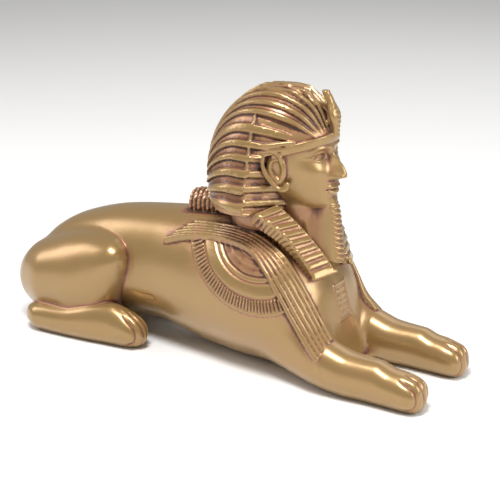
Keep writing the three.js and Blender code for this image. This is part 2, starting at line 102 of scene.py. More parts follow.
# Headcloth shell. A station is: height, centre x, reach back, reach forward, half width.
SHELL = [
    [84, 25, 24, 34, 34], [93, 24.5, 28, 35.5, 37.5], [97, 24, 31, 36.5, 39],
    [101, 23.4, 33.6, 37.5, 38.8], [106, 23, 35.2, 38, 37.8], [116, 23, 35.8, 38, 35.5],
    [126, 24, 35.4, 37.5, 33.5], [136, 25.5, 33.6, 36, 31],
    [146, 28, 30, 31, 27.5], [154, 30, 24.2, 25.5, 22.5], [160, 31.5, 17.5, 17.5, 16],
    [163, 33, 11, 11, 10], [164, 34, 1, 1, 1],
]
RIM = 96.0
POLE = {"z": 126.0, "from": 20.0, "bend": 0.0205}    # line that the pleats fan out from
PLEATS = (-1.2, -0.95, -0.71, -0.486, -0.25, 0.0, 0.235, 0.49, 0.81, 0.98, 1.15, 1.3, 1.45, 1.6)
PLEAT_RELIEF = 0.75
EDGE = {"x": 28.2, "y": 35.0, "slant": 0.55, "top": 0.8, "flare": 0.16, "flare_top": 112.0}

FACE = [                                 # height, half width, reach forward
    [95, 7, 55], [98, 12, 62], [102, 15.4, 64.6], [108, 18.6, 65], [115, 21.2, 64.6],
    [122, 22.7, 63.6], [128, 23, 62.2], [133, 23, 62.8], [140, 22.4, 61.8], [147, 20, 57],
]
FACE_BACK = 40.0
EYE = {"y": 9.0, "z": 127.8, "half": 4.7, "upper": 2.3, "lower": 1.6}
NOSE = {"bridge": 131.5, "tip": 117.4, "base": 114.8, "rise": 7.6}
MOUTH = {"z": 108.6, "half": 6.7}
CHIN = 99.6
BROW_BAND = {"x": 37.5, "reach": 25.0, "half": 24.5, "rise": 2.5, "thick": 1.4}

BEARD = {"top": 99.0, "bottom": 66.0, "pitch": 2.9, "relief": 0.6}

# Strands on each side: share along, x, y, z
OUTER_STRAND = [
    [0, -34, 26.5, 68], [0.1, -22, 25.8, 72.3], [0.22, -5, 26, 75.3], [0.34, 12, 28, 76.3],
    [0.42, 23, 29.5, 75.3], [0.5, 31, 31.5, 72], [0.6, 40, 35.5, 65], [0.7, 49, 37.7, 54.5],
    [0.82, 59, 37.6, 39.5], [0.91, 67, 38.8, 30], [1, 76, 40.8, 21.5],
]
INNER_STRAND = [
    [0, -24.5, 16.5, 79.6], [0.1, -13, 16.5, 81.2], [0.22, -1, 17.3, 82], [0.34, 11.5, 19, 82.7],
    [0.42, 23, 20.6, 82.2], [0.5, 34.5, 22.8, 80], [0.6, 46.5, 25.6, 74.6], [0.7, 56.5, 26.8, 64],
    [0.82, 65.5, 26, 50], [0.91, 71, 24.4, 39], [1, 77.5, 25.5, 31],
]
STRANDS = 6
STRAND_SWELL = 1.6

# Lappets: share down, then outer edge x, y, z and inner edge x, y, z
LAPPET = [
    [0, 34.5, 36.5, 98, 41, 22, 101], [0.35, 47.5, 30.6, 88, 53, 16, 87.6],
    [0.7, 58, 25.8, 73.4, 63.2, 11.6, 74.6], [1, 64.2, 22.2, 61.8, 70.5, 8.6, 63.4],
]
LAPPET_LENGTH = 48.0
BARS = 9

FAN = {"x": 33.0, "z": 93.0}
FAN_FROM, FAN_TO = 3.3, 5.25             # angles that the fan runs between
TICKS = 44

CARTOUCHE = {"x": 71.4, "z": 43.5, "tilt": 0.24, "half_y": 6.3, "half_z": 10.4}
QUEUE = {"x": -32.5, "end": 2.0, "z": 86.0, "radius": 8.6, "pitch": 3.1}
TAIL = [
    (-139, 8, 40), (-141, 24, 34), (-132, 36, 32), (-116, 42.5, 36), (-98, 44, 41),
    (-84, 42, 47), (-76, 40, 53),
]
TAIL_RADIUS = 3.2
COIL = [
    (61, 0, 146), (58.5, 3.2, 150.5), (55.5, 1, 154.5), (52, -3.4, 156.6),
    (48, -1, 159.4), (44, 3.4, 160.6),
    (40, 0.8, 162.8), (36, -2.6, 163.4), (31, 0, 163.8),
]


# ---------------------------------------------------------------- curves and small helpers

def between(stations, place):
    """Smooth values between stations, with no overshoot. A station's first number is its place."""
    last = len(stations) - 1
    if place <= stations[0][0]:
        return list(stations[0][1:])
    if place >= stations[last][0]:
        return list(stations[last][1:])
    i = 0
    while place > stations[i + 1][0]:
        i += 1
    step = stations[i + 1][0] - stations[i][0]
    t = (place - stations[i][0]) / step

    def slope(k, c):
        return (stations[k + 1][c] - stations[k][c]) / (stations[k + 1][0] - stations[k][0])

    def tangent(k, c):
        if k == 0:
            return slope(0, c)
        if k == last:
            return slope(last - 1, c)
        before, after = slope(k - 1, c), slope(k, c)
        return 0.0 if before * after <= 0 else 2 * before * after / (before + after)

    cube, square = t ** 3, t * t
    return [
        (2 * cube - 3 * square + 1) * stations[i][c]
        + (cube - 2 * square + t) * step * tangent(i, c)
        + (3 * square - 2 * cube) * stations[i + 1][c]
        + (cube - square) * step * tangent(i + 1, c)
        for c in range(1, len(stations[0]))
    ]


def columns(stations, places):
    rows = np.array([between(stations, p) for p in places], np.float32)
    return [rows[:, c] for c in range(rows.shape[1])]


def smooth(t, low, high):
    t = np.clip((t - low) / (high - low), 0, 1)
    return t * t * (3 - 2 * t)


def hill(t):
    return np.exp(-t * t)


def smooth_min(a, b, k):
    if np.ndim(k) == 0 and k <= 0:
        return np.minimum(a, b)
    h = np.maximum(k - np.abs(a - b), 0) / k
    return np.minimum(a, b) - h * h * k / 4


def spline(points, steps):
    """Points of a Catmull-Rom curve through the given ones."""
    p = np.array(points, float)
    p = np.vstack([2 * p[0] - p[1], p, 2 * p[-1] - p[-2]])
    out = []
    for i in range(1, len(p) - 2):
        for s in range(steps):
            t = s / steps
            out.append(0.5 * (
                2 * p[i] + (p[i + 1] - p[i - 1]) * t
                + (2 * p[i - 1] - 5 * p[i] + 4 * p[i + 1] - p[i + 2]) * t * t
                + (3 * p[i] - p[i - 1] - 3 * p[i + 1] + p[i + 2]) * t ** 3
            ))
    out.append(p[-2])
    return np.array(out)


# ---------------------------------------------------------------- the carving grid

class Grid:
    """Signed distance to the carving's surface, in mm, on a grid."""

    def __init__(self, xs, ys, zs, value=None):
        self.axes = (xs, ys, zs)
        shape = (len(xs), len(ys), len(zs))
        self.value = np.full(shape, FAR, np.float32) if value is None else value

    def window(self, low, high, pad=4.0):
        cuts = []
        for axis, a, b in zip(self.axes, low, high):
            start = int(np.searchsorted(axis, a - pad))
            end = int(np.searchsorted(axis, b + pad))
            cuts.append(slice(max(start, 0), min(end, len(axis))))
        xs, ys, zs = (axis[cut] for axis, cut in zip(self.axes, cuts))
        return tuple(cuts), xs[:, None, None], ys[None, :, None], zs[None, None, :]

    def add(self, cuts, distance, k=0.0):
        self.value[cuts] = smooth_min(self.value[cuts], distance.astype(np.float32), k)

    def take(self, cuts, distance, k=0.0):
        self.value[cuts] = -smooth_min(-self.value[cuts], distance.astype(np.float32), k)

    def sample(self, points):
        """Value at points, given as an n by 3 array in mm."""
        places, shares = [], []
        for c, axis in enumerate(self.axes):
            i = np.clip(np.searchsorted(axis, points[:, c]) - 1, 0, len(axis) - 2)
            places.append(i)
            shares.append((np.clip((points[:, c] - axis[i]) / (axis[i + 1] - axis[i]), 0, 1)))
        total = np.zeros(len(points))
        for corner in range(8):
            step = [(corner >> c) & 1 for c in range(3)]
            weight = np.ones(len(points))
            for c in range(3):
                weight = weight * (shares[c] if step[c] else 1 - shares[c])
            total += weight * self.value[places[0] + step[0], places[1] + step[1], places[2] + step[2]]
        return total


def steady(d, *axes):
    """Divides by the slope, so that the value is a true distance near the surface."""
    total = np.zeros_like(d)
    for c, axis in enumerate(axes):
        line = axis.ravel().astype(np.float32)
        shape = [1, 1, 1]
        shape[c] = len(line) - 2
        ahead = [slice(None)] * 3
        behind = [slice(None)] * 3
        inner = [slice(None)] * 3
        ahead[c], behind[c], inner[c] = slice(2, None), slice(None, -2), slice(1, -1)
        slope = np.zeros_like(d)
        slope[tuple(inner)] = (d[tuple(ahead)] - d[tuple(behind)]) / (line[2:] - line[:-2]).reshape(shape)
        total += slope * slope
    return d / np.maximum(1, np.sqrt(total))


def blurred(value, passes):
    """Mean over a small neighbourhood."""
    out = value
    for _ in range(passes):
        for c in range(3):
            kept = out
            out = out.copy()
            inner = [slice(None)] * 3
            ahead = [slice(None)] * 3
            behind = [slice(None)] * 3
            inner[c], ahead[c], behind[c] = slice(1, -1), slice(2, None), slice(None, -2)
            out[tuple(inner)] = (
                0.5 * kept[tuple(inner)] + 0.25 * (kept[tuple(ahead)] + kept[tuple(behind)])
            )
    return out


def loft(grid, stations, k, front_k=None, front=0.0):
    first, last = stations[0][0], stations[-1][0]
    low = (first, min(s[1] - s[2] for s in stations), min(s[5] for s in stations))
    high = (last, max(s[1] + s[2] for s in stations), max(s[3] for s in stations))
    cuts, X, Y, Z = grid.window(low, high, 6)
    y, width, top, middle, bottom = (
        c[:, None, None] for c in columns(stations, np.clip(X.ravel(), first, last))
    )
    up = (Z - middle).astype(np.float32)
    v = np.where(up > 0, up / (top - middle), -up / (middle - bottom))
    out = np.abs(Y - y).astype(np.float32)
    power = np.where(up > 0, ROUNDNESS, UNDERCUT).astype(np.float32)
    rho = ((out / width) ** power + v ** power) ** (1 / power)
    r = np.sqrt(out * out + up * up)
    d = r - r / np.maximum(rho, 1e-3)
    beyond = np.maximum(first - X, X - last)
    d = np.where(beyond > 0, np.hypot(np.maximum(d, 0), beyond), d).astype(np.float32)
    if front_k is not None:
        k = (k + (front_k - k) * smooth(X, front - 22, front)).astype(np.float32)
    grid.add(cuts, steady(d, X, Y, Z), k)


def ellipsoid(grid, centre, radii, k=0.0, carve=False):
    low = [c - r for c, r in zip(centre, radii)]
    high = [c + r for c, r in zip(centre, radii)]
    cuts, X, Y, Z = grid.window(low, high)
    a, b, c = (X - centre[0]) / radii[0], (Y - centre[1]) / radii[1], (Z - centre[2]) / radii[2]
    rho = np.sqrt(a * a + b * b + c * c)
    slope = np.sqrt((a / radii[0]) ** 2 + (b / radii[1]) ** 2 + (c / radii[2]) ** 2)
    d = rho * (rho - 1) / np.maximum(slope, 1e-4)
    if carve:
        grid.take(cuts, d, k)
    else:
        grid.add(cuts, d, k)


def rod(grid, points, radii, k=0.0, carve=False):
    """A round rod along straight pieces between the points."""
    points = np.array(points, float)
    radii = np.broadcast_to(np.array(radii, float), len(points))
    for a, b, ra, rb in zip(points[:-1], points[1:], radii[:-1], radii[1:]):
        reach = max(ra, rb)
        cuts, X, Y, Z = grid.window(np.minimum(a, b) - reach, np.maximum(a, b) + reach, 2.5)
        span = b - a
        t = ((X - a[0]) * span[0] + (Y - a[1]) * span[1] + (Z - a[2]) * span[2]) / (span @ span)
        t = np.clip(t, 0, 1)
        d = np.sqrt(
            (X - a[0] - t * span[0]) ** 2 + (Y - a[1] - t * span[1]) ** 2 + (Z - a[2] - t * span[2]) ** 2
        ) - (ra + t * (rb - ra))
        if carve:
            grid.take(cuts, d, k)
        else:
            grid.add(cuts, d, k)


def block(grid, centre, along, across, normal, half, rounding=0.3, k=0.0):
    """A rounded box with its own three directions and half sizes."""
    reach = sum(abs(h * np.array(v)) for h, v in zip(half, (along, across, normal)))
    centre = np.array(centre, float)
    cuts, X, Y, Z = grid.window(centre - reach, centre + reach, 2.5)
    outside = 0.0
    inside = -1e3
    for h, v in zip(half, (along, across, normal)):
        q = np.abs((X - centre[0]) * v[0] + (Y - centre[1]) * v[1] + (Z - centre[2]) * v[2]) - h + rounding
        outside = outside + np.maximum(q, 0) ** 2
        inside = np.maximum(inside, q)
    grid.add(cuts, np.sqrt(outside) + np.minimum(inside, 0) - rounding, k)


def unit(v):
    v = np.array(v, float)
    return v / np.linalg.norm(v)


# ---------------------------------------------------------------- body

def lion(grid):
    loft(grid, TORSO, 0)
    loft(grid, HAUNCH, 3.2, front_k=1.4, front=-70)
    loft(grid, HIND_FOOT, 1.6)
    loft(grid, FORELEG, 7)


def toes(grid, stations):
    """Grooves between the toes, over the top and down the front of a paw."""
    tip = stations[-1][0]
    centre, width = between(stations, tip - TOE_LENGTH / 2)[:2]
    cuts, X, Y, Z = grid.window((tip - TOE_LENGTH, centre - width, 0), (tip, centre + width, 30), 3)
    forward = smooth(X, tip - TOE_LENGTH, tip - TOE_LENGTH * 0.55)
    spread = 0.85 + 0.15 * smooth(X, tip - TOE_LENGTH, tip)
    depth = 0.0
    for share, size in TOE_GROOVES:
        aside = Y - centre - share * spread * width
        depth = depth + size * (0.9 * hill(aside / 0.75) + 0.75 * hill(aside / 2.2))
    grid.value[cuts] += (depth * forward * smooth(Z, 0.5, 5)).astype(np.float32)


# ---------------------------------------------------------------- headcloth

def pleat_place(X, Y, Z):
    """Slope of the line from the pole line to a point, and the distance."""
    pole = POLE["z"] - POLE["bend"] * np.maximum(POLE["from"] - X, 0) ** 2
    rise = Z - pole
    out = np.maximum(np.abs(Y), 0.3)
    return np.where(rise > 0, np.arctan2(rise, out), rise / out), np.hypot(rise, out)


def pleat_groove(slope):
    """1 in the narrow groove under a raised pleat's lower edge."""
    phase = np.interp(slope, PLEATS, np.arange(len(PLEATS)))
    t = phase - np.floor(phase)
    return smooth(t, 0.80, 0.94)


def pleat_profile(slope):
    """1 on a raised pleat and -1 in the lower band above it, sharp at the pleat's lower edge."""
    phase = np.interp(slope, PLEATS, np.arange(len(PLEATS)))
    t = phase - np.floor(phase)
    return 2 * smooth(t, 0, 0.07) * (1 - smooth(t, 0.42, 0.54)) - 1 - 0.5 * smooth(t, 0.86, 0.98)


def brow_line(X):
    """Height of the middle of the brow band."""
    return 118.9 + 0.3 * X


def edge_x(Z):
    return EDGE["x"] + EDGE["flare"] * np.maximum(EDGE["flare_top"] - Z, 0)


def wing_front(Y, Z):
    return edge_x(Z) + (EDGE["y"] - Y) * EDGE["slant"]


def headcloth(grid):
    top = SHELL[-1][0]
    cuts, X, Y, Z = grid.window((-15, 0, 88), (63, 41, 166), 3)
    centre, back, front, width = (c[None, None, :] for c in columns(SHELL, np.clip(Z.ravel(), 84, top)))
    ahead = X - centre
    reach = np.where(ahead < 0, back, front)
    rho = np.hypot(ahead / reach, Y / width)
    r = np.hypot(ahead, Y)
    d = r - r / np.maximum(rho, 1e-3)
    d = np.where(Z > top, np.hypot(np.maximum(d, 0), Z - top), d).astype(np.float32)
    d = blurred(steady(d, X, Y, Z), 2)

    slope, distance = pleat_place(X, Y, Z)
    size = np.clip(distance / 30, 0.35, 1) * smooth(distance, 6, 14)
    height = PLEAT_RELIEF * size * pleat_profile(slope)
    hem = smooth(Z, RIM + 2.6, RIM + 3.4)
    height = height * hem + 0.5 * (1 - hem)
    below_top = 1 - smooth(slope, EDGE["top"] - 0.02, EDGE["top"] + 0.02)
    past = X - edge_x(Z)
    height = height - (0.7 * smooth(past, -0.2, 0.5) + 0.1 * np.clip(past, 0, 12)) * below_top
    ridge = hill((past + 0.6) / 0.55) * below_top
    height = np.maximum(height, ridge * 0.85 + height * (1 - ridge))
    d = d - height

    wing, _ = pleat_place(X * 0 + EDGE["x"], EDGE["y"], Z + 0.12 * (EDGE["y"] - Y))
    opening = np.maximum(wing_front(Y, Z) + 0.6 * pleat_profile(wing) - X, Z - brow_line(X) + 0.5)
    d = -smooth_min(-d, opening, 0.5)
    underside = RIM + 0.05 * (X - 20) - Z
    d = -smooth_min(-d, -underside, 0.6)
    grid.add(cuts, d, 0)


def nape(grid):
    ellipsoid(grid, (22, 0, 91), (21, 25, 17), 1.0)


def queue(grid):
    tilt = 0.12
    a = (QUEUE["x"] + QUEUE["radius"], 0, QUEUE["z"])
    cuts, X, Y, Z = grid.window((QUEUE["x"], 0, 74), (QUEUE["end"], 12, 99), 3)
    axis = QUEUE["z"] + tilt * (X - QUEUE["x"])
    r = np.hypot(Y, Z - axis)
    turn = np.arctan2(Y, Z - axis)
    wrap = np.abs(np.cos(math.pi * (X / QUEUE["pitch"] + 0.16 * np.cos(2 * turn))))
    hairs = 0.25 * np.cos(14 * turn + X * 0.9)
    radius = QUEUE["radius"] - 0.8 + 1.1 * wrap + hairs * wrap
    before = np.maximum(a[0] - 3 - X, 0)
    d = np.hypot(np.maximum(r - radius + 3, 0), before * 1.5) - 3
    d = np.maximum(d, X - QUEUE["end"] - 3)
    grid.add(cuts, d, 0.8)


def brow_band(grid):
    band = BROW_BAND
    cuts, X, Y, Z = grid.window((38, 0, 126), (65, 27, 144), 1)
    rho = np.hypot((X - band["x"]) / band["reach"], Y / band["half"])
    out = (rho - 1) * band["reach"]
    up = Z - brow_line(X)
    p = np.abs(out) - band["thick"] + 0.6
    q = np.abs(up) - band["rise"] + 0.6
    d = np.hypot(np.maximum(p, 0), np.maximum(q, 0)) + np.minimum(np.maximum(p, q), 0) - 0.6
    d = np.maximum(d, band["x"] + 1 - X)
    grid.add(cuts, d, 0.4)
    tie = spline([(32.5, 29.4, 134.6), (38, 27.6, 135.6), (44, 24.8, 136.6), (50, 21.4, 137.4)], 5)
    rod(grid, tie, 1.3, 0.4)
    rod(grid, tie[:12] + np.array([0.5, -0.4, -3.0]), 1.1, 0.4)


# ---------------------------------------------------------------- head

def features(Y, Z):
    """How far the face stands out from the plain oval."""
    y = np.abs(Y)
    width = 2.0 + 2.5 * smooth(NOSE["bridge"] - Z, 3, 14)
    nose = NOSE["rise"] * smooth(NOSE["bridge"] - Z, -3, NOSE["bridge"] - NOSE["tip"])
    nose = nose * smooth(Z, NOSE["base"] - 1.0, NOSE["base"] + 1.4)
    rise = nose * hill(y / width)
    rise = rise + 2.1 * hill(np.hypot((y - 3.9) / 1.8, (Z - NOSE["base"] - 1.9) / 1.9))
    rise = rise - 0.9 * hill(np.hypot((y - 2.0) / 1.0, (Z - NOSE["base"] + 0.3) / 0.7))
    arch = 133.2 - 0.022 * (y - 8) ** 2
    rise = rise + 1.0 * hill((y - 9) / 7.5) * hill((Z - arch) / 1.5)
    rise = rise + 0.35 * smooth(y, 3, 4.5) * smooth(y, 18, 15) * hill((Z - arch - 0.2) / 0.7)
    rise = rise - 2.3 * hill((y - EYE["y"] + 1.5) / 5.4) * hill((Z - EYE["z"] - 0.2) / 3.3)
    t = (y - EYE["y"]) / EYE["half"]
    open_share = np.maximum(1 - t * t, 0)
    upper = EYE["z"] + EYE["upper"] * open_share ** 0.8
    lower = EYE["z"] - EYE["lower"] * open_share ** 0.8
    lids = np.abs(t) < 1.08
    ball = 1.9 * hill((y - EYE["y"]) / 3.9) * hill((Z - EYE["z"]) / 2.7)
    rise = rise + ball
    within = smooth(Z, lower - 0.2, lower + 0.25) * (1 - smooth(Z, upper - 0.25, upper + 0.2)) * lids
    rise = rise - 0.45 * within
    rise = rise + 0.55 * lids * (hill((Z - upper - 0.35) / 0.55) + 0.8 * hill((Z - lower + 0.35) / 0.5))
    tail = smooth(y, 12.6, 13.6) * smooth(y, 18.5, 16.5)
    rise = rise + 0.4 * tail * hill((Z - EYE["z"] - 0.12 * (y - 13)) / 0.6)
    m = y / MOUTH["half"]
    lips = smooth(1.08 - m, 0, 0.45)
    bow = MOUTH["z"] + 1.35 - 0.35 * hill(y / 0.9) + 0.25 * hill((y - 1.9) / 1.1)
    rise = rise + 1.5 * lips * hill((Z - bow) / 1.05)
    rise = rise + 1.7 * lips * hill(y / 5) * hill((Z - MOUTH["z"] + 1.6) / 1.2)
    rise = rise - 1.0 * smooth(1.12 - m, 0, 0.2) * hill((Z - MOUTH["z"] - 0.05 * y) / 0.45)
    rise = rise - 0.7 * hill(y / 4.8) * hill((Z - 104.4) / 1.5)
    rise = rise - 0.5 * hill((y - 6.8) / 1.1) * hill((Z - MOUTH["z"]) / 1.2)
    rise = rise + 1.7 * hill(y / 6.5) * hill((Z - CHIN) / 3.2)
    return rise + 1.1 * hill((y - 12.5) / 5.5) * hill((Z - 119.5) / 5.5)


def head(grid):
    low, high = FACE[0][0], FACE[-1][0]
    cuts, X, Y, Z = grid.window((24, 0, low - 2), (74, 24, high + 1), 1.5)
    width, reach = (c[None, None, :] for c in columns(FACE, np.clip(Z.ravel(), low, high)))
    ahead = np.maximum(X - FACE_BACK, 0) / (reach - FACE_BACK)
    rho = np.sqrt(ahead ** 2.1 + (Y / width) ** 2)
    r = np.hypot(np.maximum(X - FACE_BACK, 0), Y)
    d = r - r / np.maximum(rho, 1e-3)
    beyond = np.maximum(low - Z, Z - high)
    d = np.where(beyond > 0, np.hypot(np.maximum(d, 0), beyond), d)
    d = np.maximum(d, 26 - X).astype(np.float32)
    d = blurred(steady(d, X, Y, Z), 2)
    facing = ahead / np.maximum(rho, 1e-3)
    d = d - features(Y, Z) * smooth(facing, 0.05, 0.75)
    grid.add(cuts, d, 0.6)


def ear(grid):
    ellipsoid(grid, (40.3, 23.6, 121.5), (6.6, 2.4, 10.0), 0.4)
    ellipsoid(grid, (41.6, 25.6, 121.2), (3.4, 2.0, 6.0), 0.5, carve=True)
    helix = spline([
        (44.4, 23.8, 124.6), (43.6, 24.9, 129.2), (39.8, 25.9, 132.2), (35.4, 26.6, 130.8),
        (33.6, 26.8, 125.4), (35.2, 26.5, 119.4), (38.8, 26.0, 114.8), (43.0, 25.4, 111.4),
        (46.6, 24.6, 111.4), (47.8, 23.6, 114.4),
    ], 4)
    share = np.linspace(0, 1, len(helix))
    radii = np.interp(share, [0, 0.2, 0.75, 0.92, 1], [1, 1.25, 1.2, 1.75, 1.2])
    rod(grid, helix, radii, 0.35)
    inner = spline([
        (41.0, 24.4, 127.4), (38.4, 25.0, 126.2), (37.6, 25.2, 122.2), (39.6, 24.9, 118),
        (43, 24.2, 115.2),
    ], 4)
    rod(grid, inner, 0.95, 0.4)
    ellipsoid(grid, (44.8, 23.2, 119.6), (1.7, 1.7, 2.3), 0.6)


def neck_and_beard(grid):
    ellipsoid(grid, (42, 0, 96), (16, 15, 26), 1.5)
    top, bottom = BEARD["top"], BEARD["bottom"]
    cuts, X, Y, Z = grid.window((46, 0, bottom), (74, 12, top), 2.5)
    share = np.clip((top - Z) / (top - bottom), 0, 1)
    front = 66.8 + 4.6 * share ** 0.8
    back = 50 + 10 * share
    face_half = 5.0 + 1.3 * share
    t = np.clip((X - back) / (front - back), 0, 1)
    half = face_half + (11.5 - face_half) * (1 - t) ** 2.2
    ridges = BEARD["relief"] * np.cos(2 * math.pi * (Z - bottom) / BEARD["pitch"])
    ahead = X - front - ridges * smooth(X, front - 3.5, front - 1) * smooth(5.2 - Y, 0, 1.6) + 0.09 * Y * Y
    side = np.abs(Y) - half
    d = -smooth_min(-side, -ahead, 1.6)
    d = -smooth_min(-d, -(bottom + 0.12 * (front - X) - Z), 1.6)
    d = np.maximum(d, Z - top - 1)
    d = np.maximum(d, 46 - X)
    grid.add(cuts, d, 0.8)


def cobra(grid):
    cuts, X, Y, Z = grid.window((50, 0, 138), (70, 6, 164.5), 2.5)
    u = np.clip((Z - 141) / 21.5, 0, 1)
    centre = 64.6 + 0.6 * u - 7.2 * u ** 2.2
    spread = 2.0 + 2.9 * hill((u - 0.45) / 0.26) + 0.5 * hill((u - 0.92) / 0.12)
    thick = 1.8 + 1.0 * hill((u - 0.45) / 0.3) + 0.5 * hill((u - 0.93) / 0.12)
    rho = np.hypot((X - centre) / thick, Y / spread)
    r = np.hypot(X - centre, Y)
    d = r - r / np.maximum(rho, 1e-3)
    d = np.maximum(d, np.maximum(138.5 - Z, Z - 163.5)).astype(np.float32)
    d = steady(d, X, Y, Z)
    scale = 0.3 * np.cos(2 * math.pi * Z / 2.4) * hill(Y / 1.8) * smooth(X, centre + 0.5, centre + 1.5)
    grid.add(cuts, d - scale * smooth(Z, 158, 155), 0.5)


# ---------------------------------------------------------------- ornaments

def lappet_frame(share):
    ox, oy, oz, ix, iy, iz = between(LAPPET, share)
    bx, by, bz = between(LAPPET, min(1, share + 0.04))[:3]
    ax, ay, az = between(LAPPET, max(0, share - 0.04))[:3]
    outer, inner = np.array([ox, oy, oz]), np.array([ix, iy, iz])
    down = unit([bx - ax, by - ay, bz - az])
    across = unit(inner - outer)
    normal = unit(np.cross(across, down))
    if normal[1] < 0:
        normal = -normal
    down = unit(np.cross(normal, across)) * (1 if np.dot(np.cross(normal, across), down) > 0 else -1)
    return outer, inner, down, across, normal


def lappet(grid):
    pieces = 18
    length = LAPPET_LENGTH / pieces
    for i in range(pieces):
        outer, inner, down, across, normal = lappet_frame((i + 0.5) / pieces)
        half = np.linalg.norm(inner - outer) / 2
        deep = 4.6 - 2.6 * (i + 0.5) / pieces
        middle = (outer + inner) / 2 - deep * normal
        block(grid, middle, down, across, normal, (length * 0.7, half, deep), 0.6, 0.8)
    pitch = LAPPET_LENGTH / BARS
    for i in range(BARS):
        outer, _, down, _, normal = lappet_frame((i + 0.66) / BARS)
        inner = lappet_frame((i + 0.4) / BARS)[1]
        across = unit(inner - outer)
        half = np.linalg.norm(inner - outer) / 2
        lean = unit(down + 0.25 * normal)
        up = unit(np.cross(across, lean))
        up = up if up @ normal > 0 else -up
        middle = (outer + inner) / 2 + 0.35 * normal
        block(grid, middle, lean, across, up, (pitch * 0.27, half - 0.3, 1.1), 0.35, 0.15)
    for inset, radius in ((0.02, 0.45), (0.98, 0.4)):
        line = []
        for i in range(22):
            outer, inner, _, _, normal = lappet_frame(i / 21)
            line.append(outer + inset * (inner - outer) + 0.25 * normal)
        rod(grid, line, radius, 0.3)
    outer, inner, down, across, normal = lappet_frame(1)
    rod(grid, [outer + 0.3 * normal, inner + 0.3 * normal], 1.4, 0.5)


def strand_point(share, across):
    outer = np.array(between(OUTER_STRAND, share))
    inner = np.array(between(INNER_STRAND, share))
    swell = STRAND_SWELL * 4 * across * (1 - across) * smooth(share, 0.45, 0.7)
    return outer + across * (inner - outer) + swell * np.array([0.62, 0.62, 0.48])


def strand_normal(share, across):
    ahead = strand_point(min(1, share + 0.03), across) - strand_point(max(0, share - 0.03), across)
    side = strand_point(share, across + 0.1) - strand_point(share, across - 0.1)
    normal = unit(np.cross(ahead, side))
    return normal if normal @ np.array([0.3, 1, 0.6]) > 0 else -normal


def strands(grid):
    steps = 34
    for i in range(STRANDS):
        across = (i + 0.5) / STRANDS
        start = 0.012 * i + (0.01 if i % 2 else 0)
        shares = start + (1 - start) * np.arange(steps + 1) / steps
        bed = [strand_point(s, across) - 1.5 * strand_normal(s, across) for s in shares]
        rod(grid, bed, 1.9, 0.5)
    for i in range(STRANDS):
        across = (i + 0.5) / STRANDS
        start = 0.012 * i + (0.01 if i % 2 else 0)
        shares = start + (1 - start) * np.arange(steps + 1) / steps
        line = [strand_point(s, across) + 0.35 * strand_normal(s, across) for s in shares]
        width = [np.linalg.norm(strand_point(s, 1) - strand_point(s, 0)) / STRANDS for s in shares]
        radii = 0.5 * np.array(width) * np.interp(np.arange(steps + 1), [0, 3], [0.7, 1])
        rod(grid, line, radii, 0.15)
    low, high = strand_point(1, 0.04), strand_point(1, 0.96)
    normal = strand_normal(1, 0.5)
    across = unit(high - low)
    down = unit(np.cross(normal, across))
    half = np.linalg.norm(high - low) / 2
    block(grid, (low + high) / 2 - 0.6 * normal, down, across, normal, (0.9, half + 0.2, 2.2), 0.4, 0.2)


def fan_polar(X, Z):
    """Radius and angle in the fan."""
    across, up = X - FAN["x"], Z - FAN["z"]
    return np.hypot(across, up), np.mod(np.arctan2(up, across), 2 * math.pi)


def fan_height(X, Z):
    r, angle = fan_polar(X, Z)
    ticks = 0.5 + 0.5 * np.cos(2 * math.pi * TICKS * (angle - FAN_FROM) / (FAN_TO - FAN_FROM))
    height = 0.55 * smooth(r, 53.2, 52.6)
    height = height + 0.35 * hill((r - 52.0) / 0.6)
    height = height + 0.8 * smooth(ticks, 0.25, 0.75) * smooth(r, 44.0, 44.6) * smooth(r, 51.2, 50.6)
    height = height + 1.0 * smooth(r, 34.8, 36.2) * smooth(r, 43.5, 41.5)
    height = height + 0.6 * hill((r - 33.2) / 0.7)
    height = height - 0.5 * smooth(r, 32.4, 31.4)
    for ring, size in ((30.0, 0.3), (26.8, 0.4), (22.6, 0.55), (18.4, 0.4), (14.6, 0.4)):
        height = height + size * hill((r - ring) / 0.75)
    petals = np.abs(np.sin(9 * (angle - FAN_FROM)))
    height = height + 0.3 * petals * smooth(r, 23.4, 24.4) * smooth(r, 31.4, 30.4)
    return height * smooth(angle, FAN_FROM - 0.01, FAN_FROM + 0.01) * smooth(FAN_TO - angle, -0.01, 0.01)


def fan(grid):
    cuts, X, Y, Z = grid.window((-21, 16, 36), (66, 44, 86), 2)
    height = fan_height(X + 0 * Z, Z + 0 * X)
    grid.value[cuts] -= height * smooth(Y, 14, 18)


def cartouche(grid):
    tilt = CARTOUCHE["tilt"]
    up = np.array([-math.sin(tilt), 0, math.cos(tilt)])
    out = np.array([math.cos(tilt), 0, math.sin(tilt)])
    side = np.array([0, 1, 0])
    cuts, X, Y, Z = grid.window((62, 0, 30), (80, 8, 56), 1)
    v = (X - CARTOUCHE["x"]) * up[0] + (Z - CARTOUCHE["z"]) * up[2]
    y = np.abs(Y)
    a, b = CARTOUCHE["half_y"], CARTOUCHE["half_z"]
    frame_line = np.maximum(y - a, np.abs(v) - b)
    line = 0.6 * hill(frame_line / 0.5)
    within = smooth(-frame_line, 0.9, 1.3)
    rows = 0.5 + 0.5 * np.cos(2 * math.pi * v / 3.2)
    strokes = smooth(rows, 0.45, 0.8) * smooth(0.5 + 0.5 * np.cos(2 * math.pi * (y - 1.3) / 2.4), 0.25, 0.6)
    height = line + 0.4 * within * strokes
    grid.value[cuts] -= height * smooth(X * out[0] + Z * out[2], 70, 74) * (side[1])


# ---------------------------------------------------------------- carving

def axis(low, high, step):
    return np.arange(low, high + step, step)


